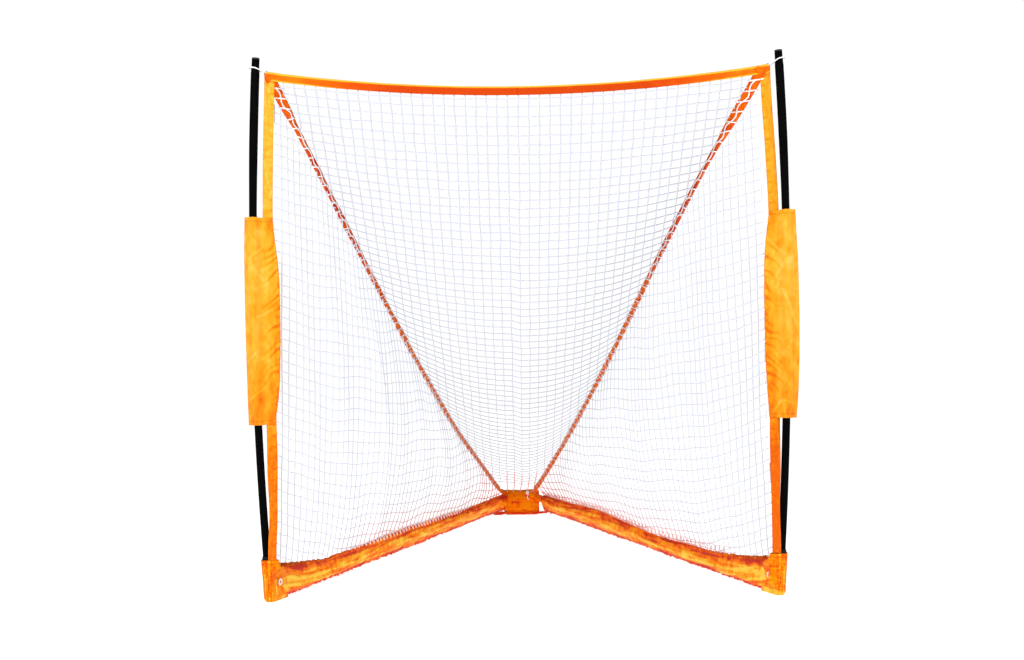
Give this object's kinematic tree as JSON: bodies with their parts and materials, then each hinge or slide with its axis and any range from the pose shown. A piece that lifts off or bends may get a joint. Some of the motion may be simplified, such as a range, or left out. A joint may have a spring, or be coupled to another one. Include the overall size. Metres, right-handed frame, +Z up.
{
  "type": "lacrosse goal",
  "caption": "Portable lacrosse goal: bowed poles on a folding V-shaped base, webbing round the mouth, a square-mesh net and diagonal straps down to the apex.",
  "frame": {"origin": "centre of the goal's box, on the ground", "axes": "+X right across the mouth, +Y from the mouth to the apex, +Z up"},
  "size_m": [2.0618, 2.2776, 2.0186],
  "materials": {
    "pole": "black fibreglass-look rod",
    "black_plastic": "moulded black",
    "steel": "zinc-plated",
    "arm_tube": "black powder coat",
    "nylon": "natural nylon",
    "orange_fabric": "satin woven polyester",
    "yellow_webbing": "yellow-orange webbing",
    "yellow_fabric": "padded yellow-orange satin",
    "orange_webbing": "woven red-orange strap",
    "crossbar_webbing": "woven orange strap",
    "net": "white knotless cord",
    "white_cord": "white braided cord"
  },
  "bodies": {
    "hub": {"apex_bracket": "steel", "apex_foot": "black_plastic", "apex_wrap": "orange_fabric", "apex_tie": "orange_webbing", "centre_net": "net", "crossbar_band": "crossbar_webbing", "left_pivot_bolt": "steel", "right_pivot_bolt": "steel", "left_pivot_nut": "steel", "right_pivot_nut": "steel"},
    "left_arm": {"left_rear_tube": "arm_tube", "left_front_tube": "arm_tube", "left_upper_bush": "nylon", "left_lower_bush": "nylon", "left_foot_plug": "black_plastic", "left_button_spring": "steel", "left_base_sleeve": "orange_fabric", "left_corner_boot": "orange_fabric", "left_side_band": "yellow_webbing", "left_diagonal_strap": "orange_webbing", "left_pole_pocket": "yellow_fabric", "left_side_net": "net", "left_corner_grommet": "steel", "left_corner_eyelet": "steel", "left_corner_cord": "white_cord"},
    "left_pole": {"left_pole_lower": "pole", "left_pole_upper": "pole", "left_pole_ferrule": "steel", "left_pole_cap": "black_plastic"},
    "left_button": {"left_snap_button": "steel"},
    "right_arm": {"right_rear_tube": "arm_tube", "right_front_tube": "arm_tube", "right_upper_bush": "nylon", "right_lower_bush": "nylon", "right_foot_plug": "black_plastic", "right_button_spring": "steel", "right_base_sleeve": "orange_fabric", "right_corner_boot": "orange_fabric", "right_side_band": "yellow_webbing", "right_diagonal_strap": "orange_webbing", "right_pole_pocket": "yellow_fabric", "right_side_net": "net", "right_corner_grommet": "steel", "right_corner_eyelet": "steel", "right_corner_cord": "white_cord"},
    "right_pole": {"right_pole_lower": "pole", "right_pole_upper": "pole", "right_pole_ferrule": "steel", "right_pole_cap": "black_plastic"},
    "right_button": {"right_snap_button": "steel"}
  },
  "joints": [
    {"name": "left_arm_fold", "type": "hinge", "parent": "hub", "child": "left_arm", "pos_m": [-0.075, 1.0948, 0], "axis": [0, 0, 1], "range_deg": [0, 18], "deforming": ["centre_net", "crossbar_band", "apex_wrap"]},
    {"name": "right_arm_fold", "type": "hinge", "parent": "hub", "child": "right_arm", "pos_m": [0.075, 1.0948, 0], "axis": [0, 0, -1], "range_deg": [0, 18], "deforming": ["centre_net", "crossbar_band", "apex_wrap"]},
    {"name": "left_pole_lift", "type": "slide", "parent": "left_arm", "child": "left_pole", "axis": [-0.0776, 0, 0.997], "range_m": [0, 0.06], "deforming": ["left_corner_cord"]},
    {"name": "right_pole_lift", "type": "slide", "parent": "right_arm", "child": "right_pole", "axis": [0.0776, 0, 0.997], "range_m": [0, 0.06], "deforming": ["right_corner_cord"]},
    {"name": "left_button_press", "type": "slide", "parent": "left_arm", "child": "left_button", "axis": [0, 0, -1], "range_m": [0, 0.005], "stiffness_N_per_m": 1200, "deforming": ["left_button_spring"]},
    {"name": "right_button_press", "type": "slide", "parent": "right_arm", "child": "right_button", "axis": [0, 0, -1], "range_m": [0, 0.005], "stiffness_N_per_m": 1200, "deforming": ["right_button_spring"]}
  ]
}
